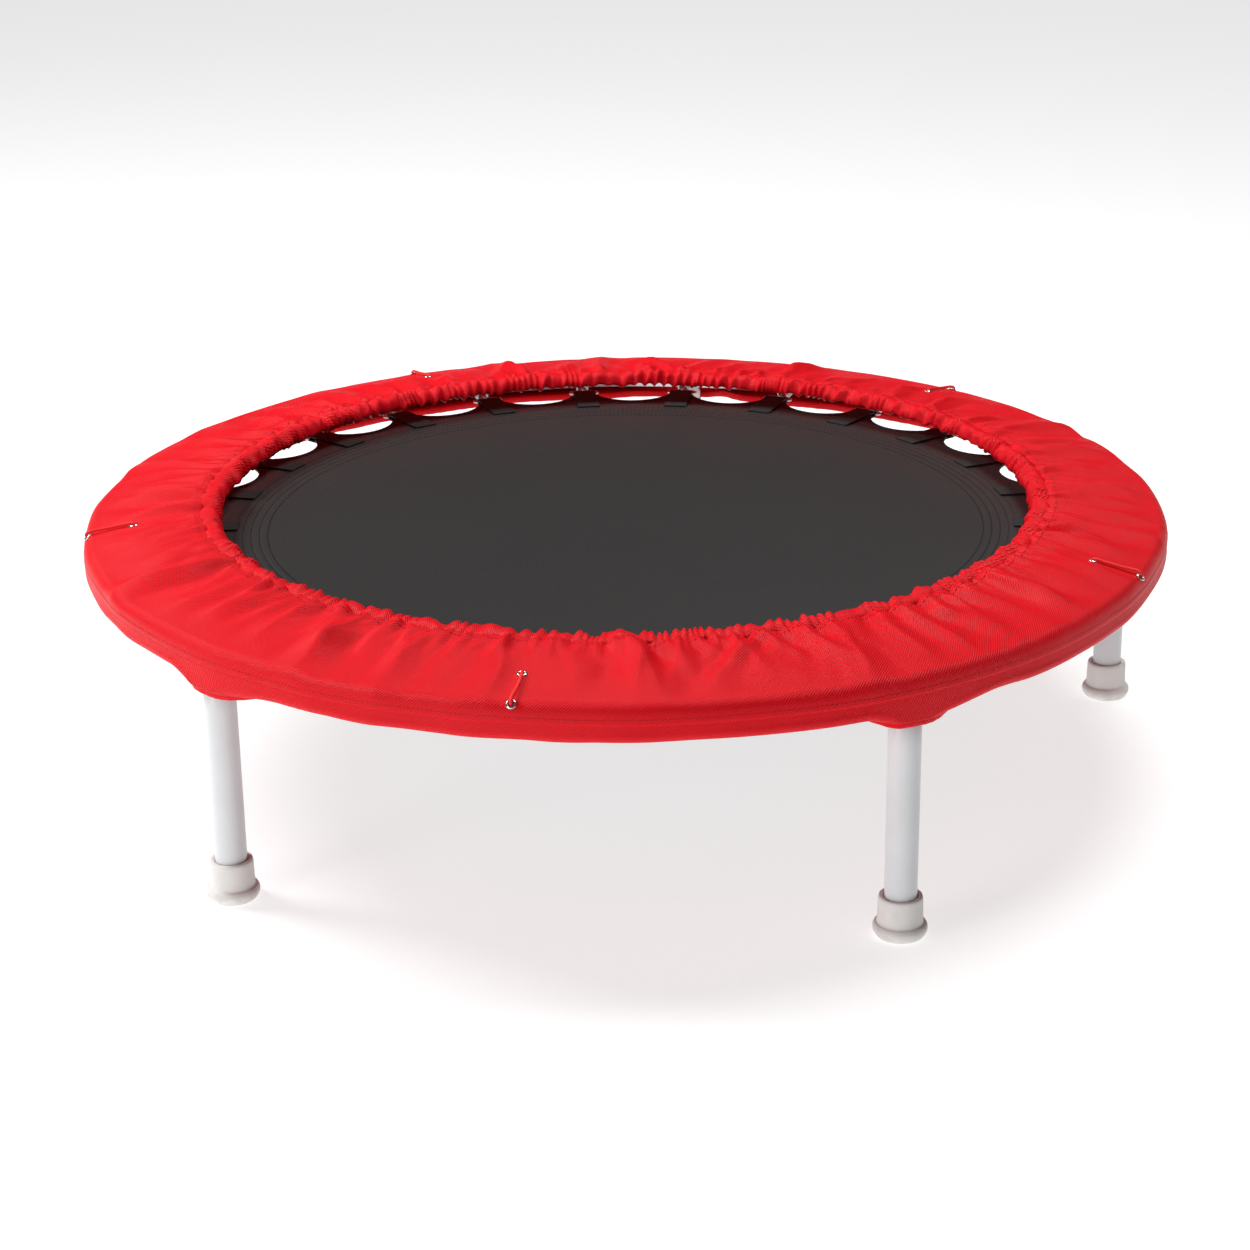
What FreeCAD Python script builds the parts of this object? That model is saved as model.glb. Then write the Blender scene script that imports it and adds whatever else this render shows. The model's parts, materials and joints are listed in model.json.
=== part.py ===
import FreeCAD, Part
import math
import os

# Mini trampoline with five screw-in legs, in millimetres. +Z is up, the floor is z = 0,
# and the origin is on the floor under the centre of the mat. Each sub-part is one STEP file.

Vector = FreeCAD.Vector
UP = Vector(0, 0, 1)
OUT = Vector(1, 0, 0)

# Driving dimensions
LEG_COUNT = 5
FIRST_LEG_ANGLE = 9.43  # of leg 1 from +X, and of the first spring
SPRING_COUNT = 25
RING_RADIUS = 494.5  # centre line of the frame tube
RING_HEIGHT = 225.5
RING_TUBE_DIAMETER = 25.0
TUBE_WALL = 1.5

LEG_TUBE_DIAMETER = 28.0
SOCKET_FACE = 203.0  # lower face of the threaded sockets
SOCKET_DIAMETER = 26.0
SOCKET_NECK_DIAMETER = 16.0
STUD_DIAMETER = 12.0
RUNNING_CLEARANCE = 0.05  # radial, between stud and socket
WASHER_THICKNESS = 1.6
FACE_GAP = 0.2  # between the washer and the faces above and below it
PLUG_FLANGE = 3.0
PLUG_SPIGOT = 12.0
FOOT_HEIGHT = 37.0
FOOT_FLOOR = 6.0  # rubber under the end of the leg tube

MAT_HEIGHT = 224.0  # middle of the woven fabric
MAT_THICKNESS = 1.2
MAT_GAP_RADIUS = 396.0  # bottom of each scallop in the mat's edge
MAT_LUG_RADIUS = 420.0
MAT_LUG_WIDTH = 26.0
TAB_WIDTH = 24.0
TAB_THICKNESS = 1.5
TAB_START = 372.0
BAR_RADIUS = 431.5  # where the wire ring's bar lies in the tab's loop
RING_WIRE_DIAMETER = 2.8
SPRING_WIRE_DIAMETER = 2.4
COIL_DIAMETER = 14.0
COIL_TURNS = 10

FABRIC = 1.2
COVER_RADIUS = 513.5
SHOULDER_RADIUS = 8.0  # rounding of the cover over the ring
SHOULDER_CENTRE = (COVER_RADIUS - SHOULDER_RADIUS, 235.5)
GATHER_RADIUS = 405.0  # where the inner casing is sewn on
GATHER_HEIGHT = 257.0
CASING_EDGE = (386.0, 241.0)  # middle of the casing's free edge
CASING_THICKNESS = 4.8
HEM_RADIUS = 480.0  # middle of the under hem between the legs, tucked in below the ring
HEM_LEG_RADIUS = 16.0  # middle of the hem round a leg, from the leg's axis
HEM_BOTTOM = 205.0
HEM_TOP = 211.0
HEM_HALF = 1.4  # half the folded hem's thickness
HEM_SLOT_HALF = 0.8
HEM_SLOT_MARGIN = 0.9

EYELET_ANGLE = FIRST_LEG_ANGLE + 36.0  # midway between two legs
TIE_SHIFTS = (0.0, 0.0, 0.0, -1.9, 0.0)  # degrees; the front tie sits a little aside
INNER_EYELET_RADIUS = 468.0
OUTER_EYELET_TILT = 40.0  # degrees from vertical, on the shoulder
CORD_DIAMETER = 2.4

LEG_ANGLES = [FIRST_LEG_ANGLE + 360.0 / LEG_COUNT * i for i in range(LEG_COUNT)]
TIE_ANGLES = [EYELET_ANGLE + 360.0 / LEG_COUNT * i + shift for i, shift in enumerate(TIE_SHIFTS)]
SPRING_ANGLES = [FIRST_LEG_ANGLE + 360.0 / SPRING_COUNT * i for i in range(SPRING_COUNT)]

WASHER_TOP = SOCKET_FACE - FACE_GAP
LEG_TOP = WASHER_TOP - WASHER_THICKNESS - FACE_GAP
TUBE_TOP = LEG_TOP - PLUG_FLANGE
TUBE_BOTTOM = FOOT_FLOOR + FACE_GAP


def at(r, z, y=0.0):
    """A point at radius r and height z in the plane of angle 0."""
    return Vector(r, y, z)


def polar(r, degrees, z):
    angle = math.radians(degrees)
    return Vector(r * math.cos(angle), r * math.sin(angle), z)


def turned(shape, degrees):
    """A copy of the shape turned about the trampoline's axis."""
    copy = shape.copy()
    copy.rotate(Vector(0, 0, 0), UP, degrees)
    return copy


def repeated(shape, angles):
    """Separate copies of the shape at each angle, as one group."""
    return Part.makeCompound([turned(shape, angle) for angle in angles])


def lines(points):
    """Straight edges from each point to the next."""
    return [Part.LineSegment(a, b).toShape() for a, b in zip(points, points[1:])]


def lathe(edges, centre=0.0):
    """The solid that a closed profile of edges makes when it turns about a vertical axis."""
    face = Part.Face(Part.Wire(Part.__sortEdges__(edges)))
    return face.revolve(Vector(centre, 0, 0), UP, 360)


def lathe_points(points, centre=0.0):
    corners = [at(centre + r, z) for r, z in points]
    return lathe(lines(corners + corners[:1]), centre)


def tube_piece(radius, bottom, top, centre=0.0):
    """An upright cylinder."""
    return Part.makeCylinder(radius, top - bottom, at(centre, bottom))


def rounded_path(corners):
    """A wire through corners, each given as a point and the radius of its bend."""
    edges, last = [], None
    for i, (point, radius) in enumerate(corners):
        if i in (0, len(corners) - 1):
            enters = leaves = point
            arc = None
        else:
            back = (corners[i - 1][0] - point).normalize()
            ahead = (corners[i + 1][0] - point).normalize()
            half = back.getAngle(ahead) / 2
            enters = point + back * (radius / math.tan(half))
            leaves = point + ahead * (radius / math.tan(half))
            middle = (back + ahead).normalize()
            top = point + middle * (radius / math.sin(half) - radius)
            arc = Part.Arc(enters, top, leaves).toShape()
        if last is not None and last.distanceToPoint(enters) > 1e-4:
            edges.append(Part.LineSegment(last, enters).toShape())
        if arc:
            edges.append(arc)
        last = leaves
    return Part.Wire(edges)


def wire_piece(corners, diameter):
    """A round wire or cord that follows the rounded path."""
    path = rounded_path(corners)
    start = path.Edges[0]
    place = start.valueAt(start.FirstParameter)
    along = start.tangentAt(start.FirstParameter)
    section = Part.Wire(Part.Circle(place, along, diameter / 2).toShape())
    piece = path.makePipeShell([section], True, True)
    expected = math.pi * diameter**2 / 4 * path.Length
    if abs(piece.Volume / expected - 1) > 0.02:
        raise ValueError("the wire's volume doesn't match its length")
    return piece


def frame_ring():
    """The bent and welded tube, with a hole for each spring and each leg socket."""
    span = 360.0 / LEG_COUNT
    middle = at(RING_RADIUS, RING_HEIGHT)

    def bent_bar(radius):
        """One leg's share of the ring, as a solid bar with that leg at its middle."""
        circle = Part.Circle(middle, Vector(0, 1, 0), radius).toShape()
        bar = Part.Face(Part.Wire(circle)).revolve(Vector(0, 0, 0), UP, span)
        return turned(bar, -span / 2)

    outer_radius = RING_TUBE_DIAMETER / 2
    bore_radius = outer_radius - TUBE_WALL
    spring_hole_radius, hole_depth = 2.6, 10.0
    hole_start = at(RING_RADIUS - outer_radius - 5, MAT_HEIGHT)
    hole = Part.makeCylinder(spring_hole_radius, hole_depth, hole_start, OUT)
    pitch = 360.0 / SPRING_COUNT
    each_side = SPRING_COUNT // LEG_COUNT // 2
    holes = [turned(hole, pitch * i) for i in range(-each_side, each_side + 1)]
    holes.append(tube_piece(SOCKET_NECK_DIAMETER / 2, SOCKET_FACE, RING_HEIGHT, RING_RADIUS))
    tube = bent_bar(outer_radius).cut(bent_bar(bore_radius)).cut(Part.makeCompound(holes))
    tubes = [turned(tube, angle) for angle in LEG_ANGLES]
    return tubes[0].fuse(tubes[1:])


def leg_socket():
    """A threaded boss whose neck is welded through the underside of the ring."""
    collar, cone_top, neck_top = 5.0, 11.5, 19.0
    wide, narrow = SOCKET_DIAMETER / 2, 10.0
    boss = lathe_points(
        [
            (0, SOCKET_FACE),
            (wide, SOCKET_FACE),
            (wide, SOCKET_FACE + collar),
            (narrow, SOCKET_FACE + cone_top),
            (0, SOCKET_FACE + cone_top),
        ],
        RING_RADIUS,
    )
    tube = Part.makeTorus(RING_RADIUS, RING_TUBE_DIAMETER / 2, at(0, RING_HEIGHT))
    neck = tube_piece(SOCKET_NECK_DIAMETER / 2, SOCKET_FACE, SOCKET_FACE + neck_top, RING_RADIUS)
    bore_radius = STUD_DIAMETER / 2 + RUNNING_CLEARANCE
    bore = tube_piece(bore_radius, SOCKET_FACE - 1, SOCKET_FACE + neck_top + 1, RING_RADIUS)
    return boss.cut(tube).fuse(neck).cut(bore).removeSplitter()


def leg_washer():
    washer_radius, hole_radius = 12.5, 6.4
    disc = tube_piece(washer_radius, WASHER_TOP - WASHER_THICKNESS, WASHER_TOP, RING_RADIUS)
    return disc.cut(tube_piece(hole_radius, 0, RING_HEIGHT, RING_RADIUS))


def leg_plug():
    """The cap welded into the leg's top, which holds the stud."""
    radius, bore = LEG_TUBE_DIAMETER / 2, STUD_DIAMETER / 2
    spigot, bevel = radius - TUBE_WALL, 0.8
    return lathe_points(
        [
            (bore, TUBE_TOP - PLUG_SPIGOT),
            (spigot, TUBE_TOP - PLUG_SPIGOT),
            (spigot, TUBE_TOP),
            (radius, TUBE_TOP),
            (radius, LEG_TOP - bevel),
            (radius - bevel, LEG_TOP),
            (bore, LEG_TOP),
        ],
        RING_RADIUS,
    )


def leg_stud():
    """The threaded stud, plain at its thread's outer diameter, with a bevelled end."""
    radius, bevel, below_plug, above_face = STUD_DIAMETER / 2, 1.5, 2.0, 19.5
    bottom, top = TUBE_TOP - PLUG_SPIGOT - below_plug, SOCKET_FACE + above_face
    return lathe_points(
        [(0, bottom), (radius, bottom), (radius, top - bevel), (radius - bevel, top), (0, top)],
        RING_RADIUS,
    )


def leg_tube():
    outer = tube_piece(LEG_TUBE_DIAMETER / 2, TUBE_BOTTOM, TUBE_TOP, RING_RADIUS)
    bore = tube_piece(LEG_TUBE_DIAMETER / 2 - TUBE_WALL, 0, RING_HEIGHT, RING_RADIUS)
    return outer.cut(bore)


def leg_foot():
    """The rubber foot: a cup with a rounded bead round its base."""
    base, bead, neck, collar, lip = 20.5, 23.5, 19.8, 19.2, 2.0
    bore = LEG_TUBE_DIAMETER / 2
    mouth, mouth_depth = bore + 0.9, 2.4
    bead_bottom, bead_middle, bead_top, neck_height = 4.0, 8.0, 11.6, 12.6

    def spot(r, z):
        return at(RING_RADIUS + r, z)

    lip_start = spot(collar, FOOT_HEIGHT - lip)
    lip_middle = spot(collar - 0.3 * lip, FOOT_HEIGHT - 0.3 * lip)
    lip_end = spot(collar - lip, FOOT_HEIGHT)
    edges = lines([spot(0, 0), spot(base, 0), spot(bead - 0.8, bead_bottom)])
    edges += [
        Part.Arc(
            spot(bead - 0.8, bead_bottom), spot(bead, bead_middle), spot(bead - 1.5, bead_top)
        ).toShape()
    ]
    edges += lines([spot(bead - 1.5, bead_top), spot(neck, neck_height), lip_start])
    edges += [Part.Arc(lip_start, lip_middle, lip_end).toShape()]
    edges += lines(
        [
            lip_end,
            spot(mouth, FOOT_HEIGHT),
            spot(bore, FOOT_HEIGHT - mouth_depth),
            spot(bore, FOOT_FLOOR),
            spot(0, FOOT_FLOOR),
            spot(0, 0),
        ]
    )
    return lathe(edges, RING_RADIUS)


def spring():
    """A close-wound extension spring: an eye round the wire ring, and an end bent up in the tube."""
    wire, coil = SPRING_WIRE_DIAMETER / 2, COIL_DIAMETER / 2
    eye_radius, eye_place = 3.2, 443.4
    coil_start, turn = 449.5, 2.5
    coil_end = coil_start + COIL_TURNS * turn
    inner_wall = RING_RADIUS - RING_TUBE_DIAMETER / 2 + TUBE_WALL
    bend_place, bend_radius, bend_height = inner_wall + wire + 1.5, 2.5, 6.0
    profile = [at(coil_start, 0)]
    for i in range(COIL_TURNS):
        start = coil_start + i * turn
        profile += [at(start, coil - wire), at(start + turn / 2, coil)]
    profile += [at(coil_end, coil - wire), at(coil_end, 0)]
    face = Part.Face(Part.Wire(lines(profile + profile[:1])))
    body = face.revolve(Vector(0, 0, 0), OUT, 360)
    body.translate(UP * MAT_HEIGHT)
    eye = Part.makeTorus(eye_radius, wire, at(eye_place, MAT_HEIGHT), Vector(0, 1, 0))
    shank_start = at(eye_place + eye_radius, MAT_HEIGHT)
    shank = Part.makeCylinder(wire, coil_start + 1 - shank_start.x, shank_start, OUT)
    hook = wire_piece(
        [
            (at(coil_end - 1, MAT_HEIGHT), 0),
            (at(bend_place, MAT_HEIGHT), bend_radius),
            (at(bend_place, MAT_HEIGHT + bend_height), 0),
        ],
        SPRING_WIRE_DIAMETER,
    )
    return body.fuse([eye, shank, hook])


def tab_ring():
    """The wire ring in a tab's loop: a straight bar, two short sides and a pointed outer end."""
    half_bar, side, peak, bend = 15.0, 4.5, 12.1, 2.8
    corners = [
        (at(BAR_RADIUS, MAT_HEIGHT, -half_bar), bend),
        (at(BAR_RADIUS, MAT_HEIGHT, half_bar), bend),
        (at(BAR_RADIUS + side, MAT_HEIGHT, half_bar), bend),
        (at(BAR_RADIUS + peak, MAT_HEIGHT, 0), bend),
        (at(BAR_RADIUS + side, MAT_HEIGHT, -half_bar), bend),
    ]
    bar_middle = at(BAR_RADIUS, MAT_HEIGHT, 0)
    corners = [(bar_middle, 0)] + corners[1:] + corners[:1] + [(bar_middle, 0)]
    return wire_piece(corners, RING_WIRE_DIAMETER)


def mat_shape(inset, thickness):
    """The mat's scalloped outline, drawn in by inset, as a flat plate."""
    half_width = MAT_LUG_WIDTH / 2 - inset
    lug, gap = MAT_LUG_RADIUS - inset, MAT_GAP_RADIUS - inset
    pitch = 360.0 / SPRING_COUNT
    bottom = MAT_HEIGHT - thickness / 2
    edges = []
    for angle in SPRING_ANGLES:
        along, across = polar(1, angle, 0), polar(1, angle + 90, 0)
        base = along * lug + UP * bottom
        right, left = base - across * half_width, base + across * half_width
        next_along = polar(1, angle + pitch, 0)
        next_across = polar(1, angle + pitch + 90, 0)
        next_right = next_along * lug + UP * bottom - next_across * half_width
        edges.append(Part.LineSegment(right, left).toShape())
        edges.append(Part.Arc(left, polar(gap, angle + pitch / 2, bottom), next_right).toShape())
    face = Part.Face(Part.Wire(edges))
    return face.extrude(UP * thickness)


def mat_edge_binding():
    """Tape folded over the scalloped edge, above and below the fabric."""
    width, thickness, outside = 6.0, 2.6, 0.6
    band = mat_shape(-outside, thickness).cut(mat_shape(width, thickness))
    return band.cut(mat_shape(0, MAT_THICKNESS))


def mat_edge_reinforcement():
    """A ring of webbing sewn under the mat, inside the tabs."""
    inner, outer, thickness = 340.0, 371.0, 0.8
    top = MAT_HEIGHT - MAT_THICKNESS / 2
    return tube_piece(outer, top - thickness, top).cut(tube_piece(inner, 0, RING_HEIGHT))


def mat_tab():
    """Webbing folded round the wire ring's bar and laid above and below the mat."""
    inner = RING_WIRE_DIAMETER / 2 + 0.1
    outer = inner + TAB_THICKNESS
    z = MAT_HEIGHT

    def leaf(radius):
        """The outline of one side of the folded strip."""
        top, bottom = at(BAR_RADIUS, z + radius), at(BAR_RADIUS, z - radius)
        nose = at(BAR_RADIUS + radius, z)
        edges = lines([at(TAB_START, z + radius), top])
        edges.append(Part.Arc(top, nose, bottom).toShape())
        edges += lines([bottom, at(TAB_START, z - radius)])
        return edges

    ends = lines([at(TAB_START, z + inner), at(TAB_START, z + outer)])
    ends += lines([at(TAB_START, z - outer), at(TAB_START, z - inner)])
    face = Part.Face(Part.Wire(Part.__sortEdges__(leaf(inner) + leaf(outer) + ends)))
    strip = face.extrude(Vector(0, TAB_WIDTH, 0))
    strip.translate(Vector(0, -TAB_WIDTH / 2, 0))
    return strip


def shoulder_point(degrees, radius):
    """A point round the shoulder's centre, at an angle from straight up."""
    angle = math.radians(degrees)
    r, z = SHOULDER_CENTRE
    return at(r + radius * math.sin(angle), z + radius * math.cos(angle))


def panel_slope():
    """How far the top panel rises for each millimetre towards the centre."""
    r, z = SHOULDER_CENTRE
    return (GATHER_HEIGHT - z - SHOULDER_RADIUS) / (r - GATHER_RADIUS)


def casing_profile(thickness, trim):
    """The inner casing's flat section, from the gather line in and down to its free edge."""
    start = at(GATHER_RADIUS - 0.5, GATHER_HEIGHT - FABRIC / 2)
    end = at(*CASING_EDGE)
    along = (end - start).normalize()
    aside = Vector(along.z, 0, -along.x) * (thickness / 2)
    start, end = start + along * trim, end - along * trim
    corners = [start + aside, end + aside, end - aside, start - aside]
    return lathe(lines(corners + corners[:1]))


def eyelet_axis(outer):
    """Where an eyelet sits on the cover and which way it faces."""
    if outer:
        place = shoulder_point(OUTER_EYELET_TILT, SHOULDER_RADIUS)
        facing = shoulder_point(OUTER_EYELET_TILT, 1) - at(*SHOULDER_CENTRE)
    else:
        slope = panel_slope()
        r, z = SHOULDER_CENTRE
        height = z + SHOULDER_RADIUS + (r - INNER_EYELET_RADIUS) * slope
        place, facing = at(INNER_EYELET_RADIUS, height), at(slope, 1).normalize()
    return place, facing


def cover_top_panel():
    """Fabric from the seam on the side, over the ring and in to the gather line."""
    r, z = SHOULDER_CENTRE

    def side(radius):
        """Edges of one face of the fabric, at a radius from the shoulder's centre."""
        gather = at(GATHER_RADIUS, GATHER_HEIGHT - SHOULDER_RADIUS + radius)
        seam = at(r + radius, RING_HEIGHT)
        arc = [shoulder_point(angle, radius) for angle in (0, 45, 90)]
        edges = [Part.LineSegment(gather, arc[0]).toShape(), Part.Arc(*arc).toShape()]
        edges.append(Part.LineSegment(arc[2], seam).toShape())
        return edges, gather, seam

    outer, outer_gather, outer_seam = side(SHOULDER_RADIUS)
    inner, inner_gather, inner_seam = side(SHOULDER_RADIUS - FABRIC)
    ends = lines([outer_gather, inner_gather]) + lines([outer_seam, inner_seam])
    panel = lathe(outer + inner + ends).cut(casing_profile(CASING_THICKNESS, 0))
    hole_radius, reach = 3.1, 5.0
    holes = []
    for outer_one in (False, True):
        place, facing = eyelet_axis(outer_one)
        hole = Part.makeCylinder(hole_radius, 2 * reach, place - facing * reach, facing)
        holes += [turned(hole, angle) for angle in TIE_ANGLES]
    return panel.cut(Part.makeCompound(holes))


def hem_disc(change, bottom, top):
    """Everything inside the hem's line, which is drawn tight round the outside of each leg."""
    disc = tube_piece(HEM_RADIUS + change, bottom, top)
    bump = tube_piece(HEM_LEG_RADIUS + change, bottom, top, RING_RADIUS)
    lean = math.acos((HEM_RADIUS - HEM_LEG_RADIUS) / RING_RADIUS)  # of the straight run's normal
    direction = (math.cos(lean), math.sin(lean))
    corners = [at(0, bottom)]
    for side in (-1, 1):
        far = at(direction[0] * (HEM_RADIUS + change), bottom, side * direction[1] * (HEM_RADIUS + change))
        near = at(
            RING_RADIUS + direction[0] * (HEM_LEG_RADIUS + change),
            bottom,
            side * direction[1] * (HEM_LEG_RADIUS + change),
        )
        corners += [far, near] if side < 0 else [near, far]
    wedge = Part.Face(Part.Wire(lines(corners + corners[:1]))).extrude(UP * (top - bottom))
    return disc.fuse([turned(shape, angle) for angle in LEG_ANGLES for shape in (bump, wedge)])


def hem_band(half_thickness, bottom, top):
    return hem_disc(half_thickness, bottom, top).cut(hem_disc(-half_thickness, bottom, top))


def cover_under_hem():
    """The folded hem below the ring, hollow for its elastic."""
    slot = hem_band(HEM_SLOT_HALF, HEM_BOTTOM + HEM_SLOT_MARGIN, HEM_TOP - HEM_SLOT_MARGIN)
    return hem_band(HEM_HALF, HEM_BOTTOM, HEM_TOP).cut(slot)


def under_hem_elastic():
    clearance = 0.15
    margin = HEM_SLOT_MARGIN + clearance
    return hem_band(HEM_SLOT_HALF - clearance, HEM_BOTTOM + margin, HEM_TOP - margin)


def cover_side_band():
    """Fabric from the side seam down and under, to the hem."""
    corner_radius = 8.0
    low = 208.6
    end = HEM_RADIUS + HEM_HALF
    corner = (COVER_RADIUS - corner_radius, low + corner_radius)

    def side(radius):
        bend = [
            at(corner[0] + radius * math.sin(a), corner[1] - radius * math.cos(a))
            for a in (math.pi / 2, math.pi / 4, 0)
        ]
        top, finish = at(corner[0] + radius, RING_HEIGHT), at(end, corner[1] - radius)
        edges = [Part.LineSegment(top, bend[0]).toShape(), Part.Arc(*bend).toShape()]
        edges.append(Part.LineSegment(bend[2], finish).toShape())
        return edges, top, finish

    outer, outer_top, outer_finish = side(corner_radius)
    inner, inner_top, inner_finish = side(corner_radius - FABRIC)
    ends = lines([outer_top, inner_top]) + lines([outer_finish, inner_finish])
    band = lathe(outer + inner + ends)
    return band.cut(hem_disc(HEM_HALF, HEM_BOTTOM - 1, HEM_TOP))


def cover_inner_casing():
    slot_thickness, slot_trim = 2.0, 2.2
    return casing_profile(CASING_THICKNESS, 0).cut(casing_profile(slot_thickness, slot_trim))


def inner_casing_elastic():
    thickness, trim = 1.5, 2.6
    return casing_profile(thickness, trim)


def eyelet_parts(outer):
    """One eyelet, flange and barrel, and the washer behind the cloth, at angle 0."""
    place, facing = eyelet_axis(outer)
    hole, barrel, flange, back = 2.3, 3.0, 4.6, 4.2
    flange_thickness, back_thickness = 0.7, 0.6
    depth = 2.8 if outer else FABRIC + 0.05  # of the washer, which the curved shoulder keeps lower

    def disc(radius, low, high):
        return Part.makeCylinder(radius, high - low, place + facing * low, facing)

    bottom = -depth - back_thickness - 0.1
    eyelet = disc(flange, 0.02, flange_thickness).fuse(disc(barrel, bottom, flange_thickness))
    eyelet = eyelet.cut(disc(hole, bottom - 1, flange_thickness + 1)).removeSplitter()
    washer = disc(back, -depth - back_thickness, -depth).cut(disc(barrel + 0.05, -9, 1))
    return eyelet, washer


def tie_cord():
    """A cord over the cover between two eyelets, and back round the ring inside it."""
    gap, turn_radius, crest_radius, loop_radius = 2.05, 1.8, 2.4, 13.9
    ring = at(RING_RADIUS, RING_HEIGHT)
    inner_place, inner_facing = eyelet_axis(False)
    outer_place, outer_facing = eyelet_axis(True)
    outer_tangent = Vector(outer_facing.z, 0, -outer_facing.x)
    above_inner = inner_place + inner_facing * gap
    above_outer = outer_place + outer_facing * gap
    below_inner = inner_place - inner_facing * 6.0
    below_outer = outer_place - outer_facing * 6.4

    crest = above_outer - outer_tangent * 5.5  # clear of the outer eyelet's flange

    def touch(point, side):
        """The angle at which a line from the point touches the loop round the ring."""
        away = point - ring
        return math.atan2(away.z, away.x) + side * math.acos(loop_radius / away.Length)

    start, finish = touch(below_outer, -1), touch(below_inner, 1) - 2 * math.pi
    bends = 3
    span = (finish - start) / bends
    corners = [
        (above_inner, turn_radius),
        (crest, crest_radius),
        (above_outer, turn_radius),
        (below_outer, 2.0),
    ]
    for i in range(bends):
        angle = start + span * (i + 0.5)
        reach = loop_radius / math.cos(span / 2)
        corners.append((ring + at(math.cos(angle), math.sin(angle)) * reach, loop_radius))
    corners.append((below_inner, 2.5))
    middle = (above_inner + crest) * 0.5
    corners = [(middle, 0)] + corners[1:] + corners[:1] + [(middle, 0)]
    return wire_piece(corners, CORD_DIAMETER)


def export(name, shape):
    """Writes one sub-part, after a check that its solids are sound."""
    if not shape.isValid() or not shape.Solids:
        raise ValueError(name + " isn't a valid solid")
    shape.exportStep("parts/" + name + ".step")
    print(name, len(shape.Solids), "solids", round(shape.Volume / 1000, 1), "cm3")


def main():
    os.makedirs("parts", exist_ok=True)
    export("frame_ring", frame_ring())
    leg_pieces = {
        "leg_socket": leg_socket(),
        "leg_washer": leg_washer(),
        "leg_plug": leg_plug(),
        "leg_stud": leg_stud(),
        "leg_tube": leg_tube(),
        "leg_foot": leg_foot(),
    }
    for number, angle in enumerate(LEG_ANGLES, start=1):
        for name, shape in leg_pieces.items():
            export(name + "_" + str(number), turned(shape, angle))

    export("springs", repeated(spring(), SPRING_ANGLES))
    export("tab_rings", repeated(tab_ring(), SPRING_ANGLES))
    export("mat_fabric", mat_shape(0, MAT_THICKNESS))
    export("mat_edge_binding", mat_edge_binding())
    export("mat_edge_reinforcement", mat_edge_reinforcement())
    export("mat_tabs", repeated(mat_tab(), SPRING_ANGLES))

    export("cover_top_panel", cover_top_panel())
    export("cover_side_band", cover_side_band())
    export("cover_under_hem", cover_under_hem())
    export("under_hem_elastic", under_hem_elastic())
    export("cover_inner_casing", cover_inner_casing())
    export("inner_casing_elastic", inner_casing_elastic())

    eyelets, washers = zip(eyelet_parts(False), eyelet_parts(True))
    for name, pair in (("eyelets", eyelets), ("eyelet_washers", washers)):
        solids = [turned(shape, angle) for shape in pair for angle in TIE_ANGLES]
        export(name, Part.makeCompound(solids))
    export("tie_cords", repeated(tie_cord(), TIE_ANGLES))


main()
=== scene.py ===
import json
import math

import bmesh
import bpy
import numpy as np
from mathutils import Matrix, Vector


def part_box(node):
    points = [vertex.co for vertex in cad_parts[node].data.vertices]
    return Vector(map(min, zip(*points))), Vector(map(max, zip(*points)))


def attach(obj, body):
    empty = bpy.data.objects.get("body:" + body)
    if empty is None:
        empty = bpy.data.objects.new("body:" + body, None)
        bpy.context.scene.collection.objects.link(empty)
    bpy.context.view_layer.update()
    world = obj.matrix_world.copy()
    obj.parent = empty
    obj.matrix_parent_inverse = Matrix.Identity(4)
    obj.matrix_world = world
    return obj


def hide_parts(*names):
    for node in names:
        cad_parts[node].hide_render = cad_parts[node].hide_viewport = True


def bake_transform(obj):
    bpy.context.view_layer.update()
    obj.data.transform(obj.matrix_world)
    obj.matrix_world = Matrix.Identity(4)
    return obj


# Mini trampoline: gathered red cover, sprung mat and screw-in legs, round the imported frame.
# Everything is in metres. A "turn" runs from 0 to 1 once round the trampoline from +X.

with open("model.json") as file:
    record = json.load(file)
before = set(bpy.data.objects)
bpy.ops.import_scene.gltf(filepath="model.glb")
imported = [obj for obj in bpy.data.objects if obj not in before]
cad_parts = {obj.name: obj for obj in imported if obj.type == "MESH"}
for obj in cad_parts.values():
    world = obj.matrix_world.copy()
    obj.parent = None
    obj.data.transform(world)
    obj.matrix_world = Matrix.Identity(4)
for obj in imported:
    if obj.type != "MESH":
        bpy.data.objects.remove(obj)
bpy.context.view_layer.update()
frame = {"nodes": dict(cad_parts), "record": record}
TAU = 2 * math.pi

# ---------------------------------------------------------------- sizes from the frame
ring_low, ring_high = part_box("frame_ring")
TUBE_RADIUS = (ring_high.z - ring_low.z) / 2
RING_RADIUS = (ring_high.y - ring_low.y) / 2 - TUBE_RADIUS
RING_Z = (ring_low.z + ring_high.z) / 2
leg_mounts = [m["pos_m"] for m in frame["record"]["mounts"]]
LEG_COUNT = len(leg_mounts)
FIRST_TURN = math.atan2(leg_mounts[0][1], leg_mounts[0][0]) / TAU
SPRING_COUNT = 25
LEG_TURNS = [FIRST_TURN + i / LEG_COUNT for i in range(LEG_COUNT)]
TIE_SHIFTS = (0, 0, 0, -1.9, 0)  # degrees; the front tie sits a little aside
TIE_TURNS = [turn + 0.5 / LEG_COUNT + shift / 360 for turn, shift in zip(LEG_TURNS, TIE_SHIFTS)]
mat_low, mat_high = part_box("mat_fabric")
MAT_Z = (mat_low.z + mat_high.z) / 2
MAT_THICKNESS = mat_high.z - mat_low.z
cover_low, cover_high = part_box("cover_top_panel")
COVER_RADIUS = (cover_high.y - cover_low.y) / 2
casing_low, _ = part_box("cover_inner_casing")

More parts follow.
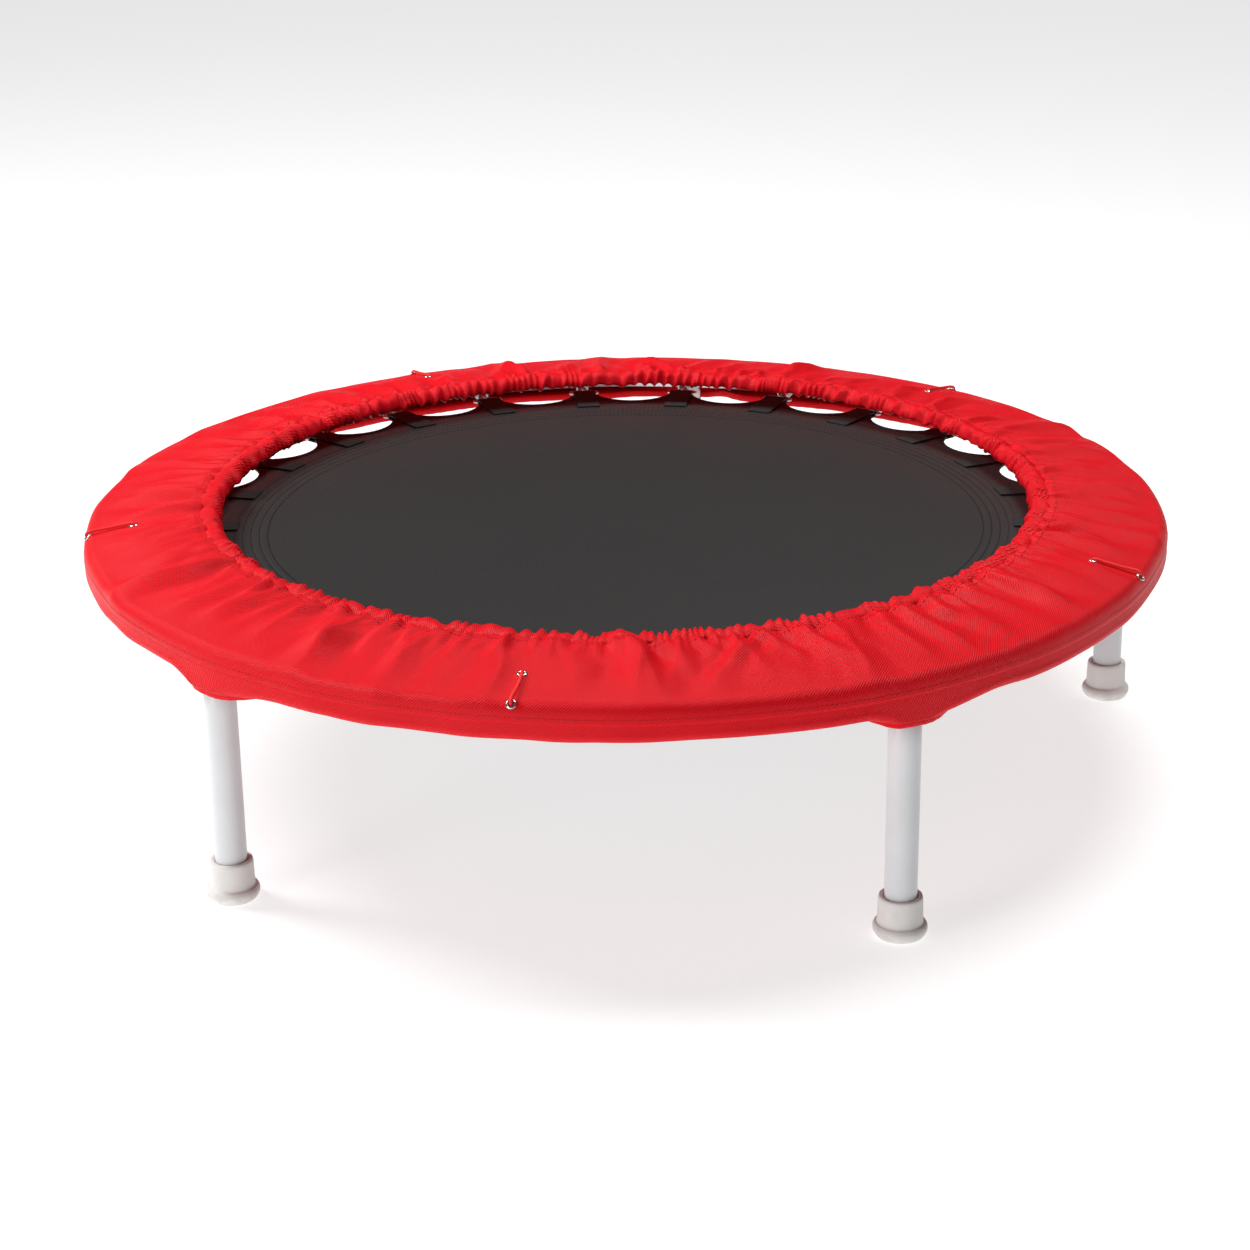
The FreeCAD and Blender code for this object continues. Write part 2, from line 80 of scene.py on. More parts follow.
GATHER_R, GATHER_Z = RING_RADIUS - 0.0895, cover_high.z - 0.0005
SEAM_Z = RING_Z
SHOULDER_BEND = 0.0105
SHOULDER = (COVER_RADIUS - SHOULDER_BEND, RING_Z + 0.0075)  # centre of the shoulder's rounding
COVER_WALL_R = COVER_RADIUS + 0.0003
CASING_FREE = (GATHER_R - 0.0190, casing_low.z + 0.0065)  # middle of the casing's free edge

# flat sizes of the cover's cut pieces
CUT_LENGTH = TAU * COVER_RADIUS
CASING_WIDTH = 0.024  # folded
HEM_CUT = 0.016  # before it is folded
CLOTH_THICKNESS = 0.0006


# ---------------------------------------------------------------- mesh helpers
def new_object(name, mesh, material=None):
    piece = bpy.data.objects.new(name, mesh)
    bpy.context.scene.collection.objects.link(piece)
    if material:
        mesh.materials.append(material)
    return piece


def grid_piece(name, points, material, closed_u=True, closed_v=False, cloth=None):
    """A smooth quad mesh from points[u, v], with cloth[u + 1, v + 1] metres as its weave's map."""
    nu, nv = points.shape[:2]
    ru, rv = nu if closed_u else nu - 1, nv if closed_v else nv - 1
    i, j = np.meshgrid(np.arange(ru), np.arange(rv), indexing="ij")
    i2, j2 = (i + 1) % nu, (j + 1) % nv
    quads = np.stack([i * nv + j, i2 * nv + j, i2 * nv + j2, i * nv + j2], axis=-1).reshape(-1, 4)
    mesh = bpy.data.meshes.new(name)
    mesh.vertices.add(nu * nv)
    mesh.vertices.foreach_set("co", points.reshape(-1).astype(np.float32))
    mesh.loops.add(quads.size)
    mesh.loops.foreach_set("vertex_index", quads.reshape(-1).astype(np.int32))
    mesh.polygons.add(len(quads))
    mesh.polygons.foreach_set("loop_start", np.arange(0, quads.size, 4, dtype=np.int32))
    mesh.update(calc_edges=True)
    mesh.polygons.foreach_set("use_smooth", np.ones(len(quads), bool))
    if cloth is not None:
        corner = np.stack([cloth[i, j], cloth[i + 1, j], cloth[i + 1, j + 1], cloth[i, j + 1]], axis=2)
        layer = mesh.uv_layers.new(name="Cloth")
        layer.data.foreach_set("uv", corner.reshape(-1).astype(np.float32))
    mesh.validate()
    return new_object(name, mesh, material)


def ring_faces(rows, sides, closed=False):
    """Quads between rows of points that each go once round; closed joins the last row to the first."""
    faces = []
    for i in range(rows if closed else rows - 1):
        a, b = i * sides, (i + 1) % rows * sides
        faces += [[a + k, a + (k + 1) % sides, b + (k + 1) % sides, b + k] for k in range(sides)]
    return faces


def end_caps(rows, sides):
    return [list(range(sides))[::-1], [(rows - 1) * sides + k for k in range(sides)]]


def joined(name, parts, material):
    """One piece from several (points, faces) parts."""
    points, faces, start = [], [], 0
    for part_points, part_faces in parts:
        points.append(part_points)
        faces += [[start + k for k in face] for face in part_faces]
        start += len(part_points)
    mesh = bpy.data.meshes.new(name)
    mesh.from_pydata(np.concatenate(points).tolist(), [], faces)
    mesh.polygons.foreach_set("use_smooth", np.ones(len(faces), bool))
    mesh.validate()
    return new_object(name, mesh, material)


def tube_part(path, radius, sides=8, closed=False):
    """Points and faces of a round tube along a path. radius may vary along it."""
    path = np.asarray(path, float)
    count = len(path)
    radii = np.broadcast_to(np.asarray(radius, float), (count,))
    if closed:
        along = np.roll(path, -1, 0) - np.roll(path, 1, 0)
    else:
        along = np.gradient(path, axis=0)
    along /= np.linalg.norm(along, axis=1)[:, None]
    side = np.cross(along[0], [0.0, 0.0, 1.0])
    if np.linalg.norm(side) < 1e-3:
        side = np.cross(along[0], [0.0, 1.0, 0.0])
    sides_at = []
    for direction in along:
        side = side - direction * side.dot(direction)
        side /= np.linalg.norm(side)
        sides_at.append(side)
    sides_at = np.array(sides_at)
    ups = np.cross(along, sides_at)
    angle = np.arange(sides) * TAU / sides
    around = np.cos(angle)[None, :, None] * sides_at[:, None] + np.sin(angle)[None, :, None] * ups[:, None]
    points = (path[:, None] + radii[:, None, None] * around).reshape(-1, 3)
    return points, ring_faces(count, sides, closed) + ([] if closed else end_caps(count, sides))


def lathe_part(profile, centre, sides, hollow=False):
    """Points and faces of a solid turned from (radius, height) pairs, open along its axis if hollow."""
    angle = np.arange(sides) * TAU / sides
    x, y = np.cos(angle), np.sin(angle)
    points = [np.stack([centre[0] + r * x, centre[1] + r * y, np.full(sides, z)], axis=1) for r, z in profile]
    rows = len(profile)
    faces = ring_faces(rows, sides, hollow) + ([] if hollow else end_caps(rows, sides))
    return np.concatenate(points), faces


def moved(part, matrix):
    points, faces = part
    spun = points @ np.array(matrix.to_3x3()).T + np.array(matrix.translation)
    return spun, faces


def sharp_at(piece, degrees=35):
    """Smooth shading except across edges sharper than this."""
    piece.data.set_sharp_from_angle(angle=math.radians(degrees))


# ---------------------------------------------------------------- noise and folds
def noise(turn, v, cells_turn, cells_v, seed):
    """Smooth noise from -1 to 1 that repeats every whole turn; v runs from 0 to 1."""
    lattice = np.random.default_rng(seed).uniform(-1, 1, (cells_turn, cells_v + 2))
    x, y = turn * cells_turn, np.clip(v, 0, 1) * cells_v
    i, j = np.floor(x).astype(int), np.floor(y).astype(int)
    fx, fy = x - i, y - j
    fx, fy = fx * fx * fx * (fx * (6 * fx - 15) + 10), fy * fy * (3 - 2 * fy)
    i0, i1 = i % cells_turn, (i + 1) % cells_turn
    low = lattice[i0, j] * (1 - fx) + lattice[i1, j] * fx
    high = lattice[i0, j + 1] * (1 - fx) + lattice[i1, j + 1] * fx
    return low * (1 - fy) + high * fy


def pleat(x, softness=0.03):
    """Rounded ridges with sharper valleys between, one each whole x, from about -0.5 to 0.4."""
    return np.sqrt(np.sin(np.pi * x) ** 2 + softness) - 0.64


def step(x, low, high):
    t = np.clip((x - low) / (high - low), 0, 1)
    return t * t * (3 - 2 * t)


def casing_wave(turn, seed=5):
    """How the gathered elastic casing puckers, from about -1 to 1, round the trampoline."""
    zero = np.zeros_like(turn)
    fine = 232 * turn + 1.7 * noise(turn, zero, 90, 1, seed) + 2.5 * noise(turn, zero, 25, 1, seed + 1)
    coarse = 96 * turn + 1.5 * noise(turn, zero, 40, 1, seed + 2)
    strength = 0.75 + 0.45 * noise(turn, zero, 60, 1, seed + 3)
    return 1.7 * strength * pleat(fine) + 1.1 * pleat(coarse)


def near_ties(turn):
    """1 away from the eyelet pairs, falling to 0 at them."""
    keep = np.ones_like(turn)
    for tie in TIE_TURNS:
        away = np.abs((turn - tie + 0.5) % 1 - 0.5) * TAU * RING_RADIUS
        keep *= step(away, 0.004, 0.022)
    return keep


def gathered_folds():
    """Short and long folds from the gather line: start, reach, width, lean and height of each."""
    rng = np.random.default_rng(7)
    folds = []
    for count, reaches, widths, heights in (
        (150, (0.22, 0.55), (0.0032, 0.0048), (0.0012, 0.0032)),
        (84, (0.60, 1.08), (0.0052, 0.0088), (0.0024, 0.0054)),
    ):
        for i in range(count):
            start = (i + 0.9 * rng.random()) / count
            sideways = 0.12 + 0.50 * math.sin(TAU * start) ** 2  # more crossing at the front and back
            reach, width = rng.uniform(*reaches), rng.uniform(*widths)
            folds.append((start, reach, width, rng.normal(0, sideways), rng.uniform(*heights)))
    return folds


FOLDS = gathered_folds()


def panel_folds(turn, v):
    """Height in metres of the folds on the top panel. v is 0 at the gather line and 1 at the seam."""
    radius = GATHER_R + (COVER_RADIUS - GATHER_R) * v
    height = 0.0018 * casing_wave(turn) * np.exp(-((v / 0.15) ** 2))
    for start, reach, width, lean, rise in FOLDS:
        near = np.abs((turn[:, 0] - start + 0.5) % 1 - 0.5) < 0.035
        t, away = v[near], ((turn[near] - start + 0.5) % 1 - 0.5) * TAU
        bent = lean * 0.1 * t * (1 - 0.3 * t) + 0.0022 * np.sin(9 * t + 40 * start)
        x = (away * radius[near] - bent) / (width * (1 + 1.5 * t))
        body = step(t / reach, -0.05, 0.14) * (1 - step(t / reach, 0.50, 1.0))
        # a rounded ridge with one steeper side, and a shallow valley beyond it
        side = np.where(x * lean > 0, 1.5, 0.85)
        shape = np.exp(-((np.abs(x) * side) ** 1.5)) - 0.42 * np.exp(-(((np.abs(x) - 2.0) / 0.75) ** 2))
        height[near] += rise * body * shape
    height += 0.0017 * noise(turn, v, 46, 2, 41) * step(v, 0.05, 0.4) * (1 - step(v, 0.7, 0.95))
    return height * (1 - (1 - near_ties(turn)) * step(v, 0.2, 0.45))


# ---------------------------------------------------------------- materials
def material(name, colour, roughness, metallic=0.0, specular=0.5):
    """A new material and its nodes, with the shader's plain values set on it."""
    m = bpy.data.materials.new(name)
    m.use_nodes = True
    shader = m.node_tree.nodes["Principled BSDF"]
    shader.inputs["Base Color"].default_value = (*colour, 1)
    shader.inputs["Roughness"].default_value = roughness
    shader.inputs["Metallic"].default_value = metallic
    shader.inputs["Specular IOR Level"].default_value = specular
    return m, m.node_tree, shader


def node(tree, kind, **values):
    made = tree.nodes.new(kind)
    for key, value in values.items():
        if hasattr(made, key):
            setattr(made, key, value)
        else:
            made.inputs[key].default_value = value
    return made


def maths(tree, operation, first, second=0.0):
    made = tree.nodes.new("ShaderNodeMath")
    made.operation = operation
    for slot, value in zip(made.inputs, (first, second)):
        if isinstance(value, (int, float)):
            slot.default_value = value
        else:
            tree.links.new(value, slot)
    return made.outputs[0]


def blended(tree, factor, low, high):
    """A colour or value between two colours, by a factor socket."""
    made = tree.nodes.new("ShaderNodeMix")
    made.data_type = "RGBA"
    tree.links.new(factor, made.inputs["Factor"])
    for slot, colour in ((made.inputs[6], low), (made.inputs[7], high)):
        if isinstance(colour, tuple):
            slot.default_value = (*colour, 1)
        else:
            tree.links.new(colour, slot)
    return made.outputs[2]


def ranged(tree, value, low, high, out_low, out_high):
    made = node(tree, "ShaderNodeMapRange")
    for key, number in (("From Min", low), ("From Max", high), ("To Min", out_low), ("To Max", out_high)):
        made.inputs[key].default_value = number
    tree.links.new(value, made.inputs["Value"])
    return made.outputs["Result"]


def object_noise(tree, scale, detail=3.0):
    made = node(tree, "ShaderNodeTexNoise", Scale=scale, Detail=detail)
    tree.links.new(tree.nodes.new("ShaderNodeTexCoord").outputs["Object"], made.inputs["Vector"])
    return made.outputs["Fac"]


def axes(tree, where):
    """The X, Y and Z of a vector socket."""
    split = tree.nodes.new("ShaderNodeSeparateXYZ")
    tree.links.new(where, split.inputs[0])
    return [split.outputs[axis] for axis in "XYZ"]


def object_axes(tree):
    return axes(tree, tree.nodes.new("ShaderNodeTexCoord").outputs["Object"])


def cloth_axes(tree):
    """Metres along and across the cloth, from its map."""
    x, y, _ = axes(tree, node(tree, "ShaderNodeUVMap", uv_map="Cloth").outputs["UV"])
    return x, y


def half(tree, wave):
    """A sine's -1..1 as 0..1."""
    return maths(tree, "ADD", maths(tree, "MULTIPLY", wave, 0.5), 0.5)


def line_wave(tree, x, y, across, along, pitch):
    """Ribs from 0 to 1, one each pitch in the direction (across, along)."""
    size = math.hypot(across, along)
    parts = maths(tree, "MULTIPLY", x, across / size), maths(tree, "MULTIPLY", y, along / size)
    line = maths(tree, "ADD", *parts)
    return half(tree, maths(tree, "SINE", maths(tree, "MULTIPLY", line, TAU / pitch)))


def bump(tree, shader, height, distance, strength=1.0):
    made = node(tree, "ShaderNodeBump", Strength=strength, Distance=distance)
    tree.links.new(height, made.inputs["Height"])
    tree.links.new(made.outputs["Normal"], shader.inputs["Normal"])


def red_twill():
    """Polyester twill: fine diagonal ribs, a soft sheen and slow changes of tone."""
    pitch = 0.0019
    m, tree, shader = material("red_twill", (0.83, 0.001, 0.010), 0.43, specular=0.17)
    shader.inputs["Sheen Weight"].default_value = 0.03
    shader.inputs["Sheen Roughness"].default_value = 0.35
    shader.inputs["Sheen Tint"].default_value = (1.0, 0.12, 0.10, 1)
    x, y = cloth_axes(tree)
    ribs = line_wave(tree, x, y, 1.0, 1.0, pitch)
    picks = line_wave(tree, x, y, 1.0, -1.0, pitch * 0.55)
    tone = object_noise(tree, 9.0, 4.0)
    dark = blended(tree, tone, (0.56, 0.0005, 0.005), (0.64, 0.0007, 0.006))
    light = blended(tree, tone, (0.95, 0.0020, 0.013), (1.0, 0.0035, 0.016))
    factor = maths(tree, "ADD", maths(tree, "MULTIPLY", ribs, 0.72), maths(tree, "MULTIPLY", picks, 0.18))
    tree.links.new(blended(tree, factor, dark, light), shader.inputs["Base Color"])
    tree.links.new(ranged(tree, factor, 0.0, 1.0, 0.52, 0.38), shader.inputs["Roughness"])
    fine = maths(tree, "ADD", factor, maths(tree, "MULTIPLY", object_noise(tree, 900.0, 2.0), 0.35))
    bump(tree, shader, fine, 0.00040, 0.9)
    return m


def mat_weave():
    """Tight black woven mat: warp and weft ribs, uneven wear, a soft gloss."""
    m, tree, shader = material("mat_weave", (0.045, 0.042, 0.040), 0.46, specular=0.5)
    x, y = cloth_axes(tree)
    warp = line_wave(tree, x, y, 1.0, 0.35, 0.0026)
    weft = line_wave(tree, x, y, -0.35, 1.0, 0.0021)
    weave = maths(tree, "MULTIPLY", warp, weft)
    wear = object_noise(tree, 5.0, 5.0)
    fine = object_noise(tree, 260.0, 2.0)
    low = blended(tree, wear, (0.007, 0.006, 0.006), (0.010, 0.009, 0.009))
    high = blended(tree, wear, (0.026, 0.024, 0.023), (0.036, 0.033, 0.031))
    factor = maths(tree, "ADD", maths(tree, "MULTIPLY", weave, 0.75), maths(tree, "MULTIPLY", fine, 0.25))
    tree.links.new(blended(tree, factor, low, high), shader.inputs["Base Color"])
    tree.links.new(ranged(tree, weave, 0.0, 1.0, 0.58, 0.40), shader.inputs["Roughness"])
    bump(tree, shader, factor, 0.00025, 0.6)
    return m


def webbing(name, dark, light, pitch=0.0016):
    """Woven tape: close ribs that change tone a little."""
    roughness = 0.7
    m, tree, shader = material(name, light, roughness, specular=0.3)
    x, y, _ = object_axes(tree)
    ribs = maths(tree, "MULTIPLY", line_wave(tree, x, y, 1, 1, pitch), line_wave(tree, x, y, 1, -1, pitch))
    fuzz = maths(tree, "MULTIPLY", object_noise(tree, 120.0), 0.4)
    factor = maths(tree, "ADD", maths(tree, "MULTIPLY", ribs, 0.7), fuzz)
    tree.links.new(blended(tree, factor, dark, light), shader.inputs["Base Color"])
    gloss = ranged(tree, factor, 0.0, 1.0, roughness + 0.08, roughness - 0.08)
    tree.links.new(gloss, shader.inputs["Roughness"])
    bump(tree, shader, factor, 0.0003, 0.6)
    return m


def powder_coat(name, colour):
    """White powder coat with a faint orange peel and a little grime."""
    m, tree, shader = material(name, colour, 0.32, specular=0.5)
    grime = object_noise(tree, 14.0, 6.0)
    duller = tuple(c * k for c, k in zip(colour, (0.93, 0.925, 0.915)))
    clean = ranged(tree, grime, 0.35, 0.7, 0, 1)
    tree.links.new(blended(tree, clean, duller, colour), shader.inputs["Base Color"])
    tree.links.new(ranged(tree, grime, 0.3, 0.7, 0.38, 0.27), shader.inputs["Roughness"])
    bump(tree, shader, object_noise(tree, 420.0, 2.0), 0.00008, 0.6)
    return m


def rubber(name, colour):
    """Off-white moulded rubber, matt, slightly scuffed towards the floor."""
    m, tree, shader = material(name, colour, 0.55, specular=0.4)
    shader.inputs["Subsurface Weight"].default_value = 0.12
    shader.inputs["Subsurface Radius"].default_value = (0.003, 0.0022, 0.0016)
    _, _, height = object_axes(tree)
    low_down = ranged(tree, height, 0.0, 0.014, 0.75, 0.0)
    scuffs = ranged(tree, object_noise(tree, 90.0, 6.0), 0.45, 0.75, 0.0, 1.0)
    factor = maths(tree, "MULTIPLY", scuffs, maths(tree, "ADD", low_down, 0.15))
    worn = tuple(c * k for c, k in zip(colour, (0.70, 0.66, 0.60)))
    tree.links.new(blended(tree, factor, colour, worn), shader.inputs["Base Color"])
    tree.links.new(ranged(tree, scuffs, 0.0, 1.0, 0.50, 0.68), shader.inputs["Roughness"])
    bump(tree, shader, object_noise(tree, 700.0, 3.0), 0.00012, 0.5)
    return m


def metal(name, colour, roughness):
    """Plated steel with fine scratches and uneven gloss."""
    m, tree, shader = material(name, colour, roughness, metallic=1.0)
    marks = object_noise(tree, 300.0, 5.0)
    duller = tuple(c * 0.72 for c in colour)
    clean = ranged(tree, marks, 0.35, 0.65, 0, 1)
    tree.links.new(blended(tree, clean, duller, colour), shader.inputs["Base Color"])
    gloss = ranged(tree, marks, 0.3, 0.7, roughness + 0.12, roughness - 0.06)
    tree.links.new(gloss, shader.inputs["Roughness"])
    bump(tree, shader, marks, 0.00004, 0.5)
    return m


def braid(name, dark, light):
    """Braided cord and sewing thread: a fine mottle of strands."""
    m, tree, shader = material(name, light, 0.5, specular=0.35)
    strands = object_noise(tree, 1500.0, 3.0)
    tree.links.new(blended(tree, strands, dark, light), shader.inputs["Base Color"])
    tree.links.new(ranged(tree, strands, 0.3, 0.7, 0.62, 0.45), shader.inputs["Roughness"])
    bump(tree, shader, strands, 0.00025, 0.8)
    return m


RED = red_twill()
MAT = mat_weave()
WEBBING = webbing("black_webbing", (0.010, 0.009, 0.009), (0.034, 0.030, 0.029))
ELASTIC = webbing("white_elastic", (0.55, 0.55, 0.54), (0.82, 0.82, 0.80), 0.0012)
FRAME_WHITE = powder_coat("frame_white", (0.80, 0.81, 0.82))
LEG_WHITE = powder_coat("leg_white", (0.81, 0.83, 0.85))
RUBBER = rubber("foot_rubber", (0.86, 0.84, 0.82))
NYLON = rubber("washer_nylon", (0.78, 0.78, 0.75))
ZINC = metal("zinc_steel", (0.60, 0.60, 0.58), 0.34)
SPRING_STEEL = metal("spring_steel", (0.56, 0.56, 0.56), 0.30)
NICKEL = metal("nickel", (0.78, 0.76, 0.72), 0.20)
CORD_RED = braid("red_cord", (0.78, 0.008, 0.012), (1.0, 0.04, 0.03))
THREAD_RED = braid("red_thread", (0.42, 0.004, 0.010), (0.72, 0.012, 0.02))
THREAD_BLACK = braid("black_thread", (0.006, 0.006, 0.006), (0.022, 0.020, 0.020))


# ---------------------------------------------------------------- cover: top panel
PANEL_COLUMNS, PANEL_ROWS = 1560, 31


def panel_profile():
    """(radius, height), outward normals and lengths along the top panel, from the gather line out."""
    r, z = SHOULDER
    gather = np.array([GATHER_R, GATHER_Z])
    crest = np.array([r, z + SHOULDER_BEND])
    slope = crest - gather
    bend_rows, seam_rows = 8, 3
    flat_rows = PANEL_ROWS - bend_rows - seam_rows - 1
    points = [gather + [-0.0055, -0.0040]]  # the edge sewn inside the casing
    for k in range(flat_rows):
        share = k / flat_rows
        points.append(gather + slope * share + [0, 0.0016 * math.sin(math.pi * share)])
    for k in range(bend_rows):
        angle = math.pi / 2 * k / (bend_rows - 1)
        points.append(np.array([r + SHOULDER_BEND * math.sin(angle), z + SHOULDER_BEND * math.cos(angle)]))
    last = points[-1]
    points += [last + (np.array([COVER_WALL_R, SEAM_Z]) - last) * k / seam_rows for k in range(1, seam_rows + 1)]
    points = np.array(points)
    along = np.gradient(points, axis=0)
    along /= np.linalg.norm(along, axis=1)[:, None]
    normals = np.stack([-along[:, 1], along[:, 0]], axis=1)
    lengths = np.concatenate([[0], np.cumsum(np.linalg.norm(np.diff(points, axis=0), axis=1))])
    return points, normals, lengths


def facets(turn):
    """The cover's outline is slightly straight between pulls, in metres."""
    wave = pleat(23 * turn + 0.9 * noise(turn, np.zeros_like(turn), 11, 1, 71), 0.05)
    return -0.0014 * wave + 0.0008 * noise(turn, np.zeros_like(turn), 34, 1, 72)


def round_points(turn, r, z):
    return np.stack([r * np.cos(TAU * turn), r * np.sin(TAU * turn), z], axis=-1)


def panel_points():
    points, normals, lengths = panel_profile()
    turn = np.arange(PANEL_COLUMNS)[:, None] / PANEL_COLUMNS + np.zeros((1, len(points)))
    v = np.broadcast_to(lengths / lengths[-1], turn.shape)
    height = panel_folds(turn, v)
    outline = facets(turn) * step(v, 0.6, 0.85)
    r = points[:, 0] + normals[:, 0] * height + outline
    z = points[:, 1] + normals[:, 1] * height
    return round_points(turn, r, z), lengths


def cloth_map(columns, lengths, start=0.0):
    """Metres along and across a cut piece, for each point of its mesh."""
    u = np.arange(columns + 1)[:, None] / columns * CUT_LENGTH
    return np.stack([u + 0 * lengths, start + lengths + 0 * u], axis=-1)


def thickened(piece, thickness):
    """Thickness added behind the piece's outside."""
    solid = piece.modifiers.new("Thickness", "SOLIDIFY")
    solid.thickness = thickness
    solid.offset = -1.0


def make_cover_top():
    points, lengths = panel_points()
    cloth = cloth_map(PANEL_COLUMNS, lengths)
    top = grid_piece("cover_top", points[:, ::-1], RED, cloth=cloth[:, ::-1])
    thickened(top, CLOTH_THICKNESS)
    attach(top, "frame")
    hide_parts("cover_top_panel")


# ---------------------------------------------------------------- cover: gathered casing
CASING_COLUMNS, CASING_SIDES = 2300, 14


def casing_line(a):
    """(radius, height) and normal across the casing's bowed middle, a from 0 at the gather line to 1."""
    start, end, bow = np.array([GATHER_R + 0.0012, GATHER_Z - 0.0022]), np.array(CASING_FREE), 0.0026
    along = end - start
    normal = np.array([along[1], -along[0]]) / np.linalg.norm(along)
    return start + along * a[..., None] + normal * (bow * np.sin(np.pi * a))[..., None], normal


def casing_points(columns, sides, plump, inset=0.0):
    """A flat puckered tube round the trampoline, of the casing or of the elastic inside it."""
    turn = np.arange(columns)[:, None] / columns + np.zeros((1, sides))
    angle = np.arange(sides)[None, :] * TAU / sides + 0 * turn
    a = inset + (1 - 2 * inset) * (0.5 - 0.5 * np.cos(angle))
    points, normal = casing_line(a)
    wave = casing_wave(turn)
    puff = plump * (1 + 0.5 * noise(turn, a, 230, 3, 81))
    pinch = 1 - 0.6 * np.exp(-(((a - 0.12) / 0.07) ** 2)) - 0.35 * np.exp(-(((a - 0.9) / 0.07) ** 2))
    out = puff * np.sin(angle) * pinch + 0.0028 * wave * (0.55 + 0.6 * a)
    ragged = 0.0021 * casing_wave(turn + 0.0009) * step(a, 0.5, 1.0)
    r = points[..., 0] + normal[0] * out + ragged
    z = points[..., 1] + normal[1] * out - 0.4 * ragged
    return round_points(turn, r, z)


def make_casing():
    points = casing_points(CASING_COLUMNS, CASING_SIDES, 0.0062)
    lengths = np.arange(CASING_SIDES + 1) * 2 * CASING_WIDTH / CASING_SIDES
    casing = grid_piece("cover_casing", points, RED, closed_v=True, cloth=cloth_map(CASING_COLUMNS, lengths))
    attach(casing, "frame")
    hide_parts("cover_inner_casing")
    flat_tube = casing_points(CASING_COLUMNS // 2, 8, 0.0005, 0.2)
    elastic = grid_piece("cover_casing_elastic", flat_tube, ELASTIC, closed_v=True)
    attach(elastic, "frame")
    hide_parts("inner_casing_elastic")


# ---------------------------------------------------------------- cover: side band and hem
SIDE_COLUMNS = 1400
HEM_R, HEM_Z = RING_RADIUS - 0.0185, RING_Z - 0.0180  # between the legs
HEM_LEG_R = 0.0160  # from a leg's axis to the hem outside it
HEM_DROP = 0.0078  # lower outside each leg


def from_leg(turn):
    """Signed metres along the ring to the nearest leg."""
    away = np.stack([((turn - leg + 0.5) % 1 - 0.5) * TAU * RING_RADIUS for leg in LEG_TURNS])
    return np.take_along_axis(away, np.abs(away).argmin(0)[None], 0)[0]


def hem_place(turn):
    """Radius and height of the hem, tucked in below the ring and drawn out round each leg."""
    away = from_leg(turn)
    out = 1 - step(np.abs(away), 0.006, np.where(away > 0, 0.095, 0.075))
    r = HEM_R + (RING_RADIUS + HEM_LEG_R - HEM_R) * out
    drop = 1 - step(np.abs(away), 0.014, np.where(away > 0, 0.088, 0.048))
    z = HEM_Z - HEM_DROP * drop**1.2 + 0.0007 * noise(turn, 0 * turn, 90, 1, 91)
    return r + 0.0012 * noise(turn, 0 * turn, 70, 1, 92) * (1 - drop), z


def side_points():
    """The side band: straight down from the seam, round the lower edge and in to the hem."""
    straight, bend, under = 4, 7, 8
    turn = np.arange(SIDE_COLUMNS) / SIDE_COLUMNS
    hem_r, hem_z = hem_place(turn)
    low = hem_z + 0.0010
    wall = COVER_WALL_R
    radius = np.minimum(0.0085, np.maximum(wall - hem_r, 0.0012))
    rows = [(wall - 0.0010 + 0 * turn, SEAM_Z + 0.0040 + 0 * turn)]  # sewn in behind the top panel
    for k in range(straight):
        share = k / straight
        rows.append((wall - 0.0003 + 0 * turn, SEAM_Z - 0.0004 + (low + radius - SEAM_Z) * share))
    for k in range(bend):
        angle = math.pi / 2 * k / (bend - 1)
        rows.append((wall - radius * (1 - math.cos(angle)), low + radius * (1 - math.sin(angle))))
    for k in range(1, under + 1):
        share = k / under
        start = wall - radius
        sag = -0.0012 * np.sin(math.pi * share) * step(start - hem_r, 0.002, 0.02)
        rows.append((start + (hem_r - start) * share, low + sag))
    r, z = (np.stack(parts, axis=1) for parts in zip(*rows))
    turns = np.broadcast_to(turn[:, None], r.shape)
    v = np.broadcast_to(np.linspace(0, 1, r.shape[1])[None], r.shape)
    ripple = 0.0007 * noise(turns, v, 60, 2, 101) * step(v, 0, 0.4)
    pucker = 0.0009 * pleat(170 * turns + 1.5 * noise(turns, 0 * v, 70, 1, 102)) * step(v, 0.72, 1)
    return round_points(turns, r + facets(turns) * (1 - step(v, 0.4, 0.8)) + ripple, z + pucker)


def make_side_band():
    points = side_points()
    rows = points.shape[1]
    cloth = cloth_map(SIDE_COLUMNS, np.linspace(0, 0.047, rows), 0.3)
    band = grid_piece("cover_side", points[:, ::-1], RED, cloth=cloth[:, ::-1])
    thickened(band, CLOTH_THICKNESS)
    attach(band, "frame")
    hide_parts("cover_side_band")


def hem_points(columns, sides, half_wide, half_tall):
    turn = np.arange(columns)[:, None] / columns + np.zeros((1, sides))
    angle = np.arange(sides)[None, :] * TAU / sides + 0 * turn
    r, z = hem_place(turn)
    wave = pleat(210 * turn + 1.5 * noise(turn, 0 * turn, 80, 1, 111))
    r = r + half_wide * (1 + 0.3 * wave) * np.cos(angle)
    z = z + half_tall * (1 + 0.1 * wave) * np.sin(angle)
    return round_points(turn, r, z)


def make_hem():
    """The rolled hem, puckered over its elastic."""
    columns, sides = 1600, 12
    lengths = np.arange(sides + 1) * HEM_CUT / sides
    points = hem_points(columns, sides, 0.0015, 0.0034)
    hem = grid_piece("cover_hem", points, RED, closed_v=True, cloth=cloth_map(columns, lengths))
    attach(hem, "frame")
    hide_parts("cover_under_hem")
    elastic = grid_piece("cover_hem_elastic", hem_points(800, 8, 0.0005, 0.0022), ELASTIC, closed_v=True)
    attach(elastic, "frame")
    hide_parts("under_hem_elastic")


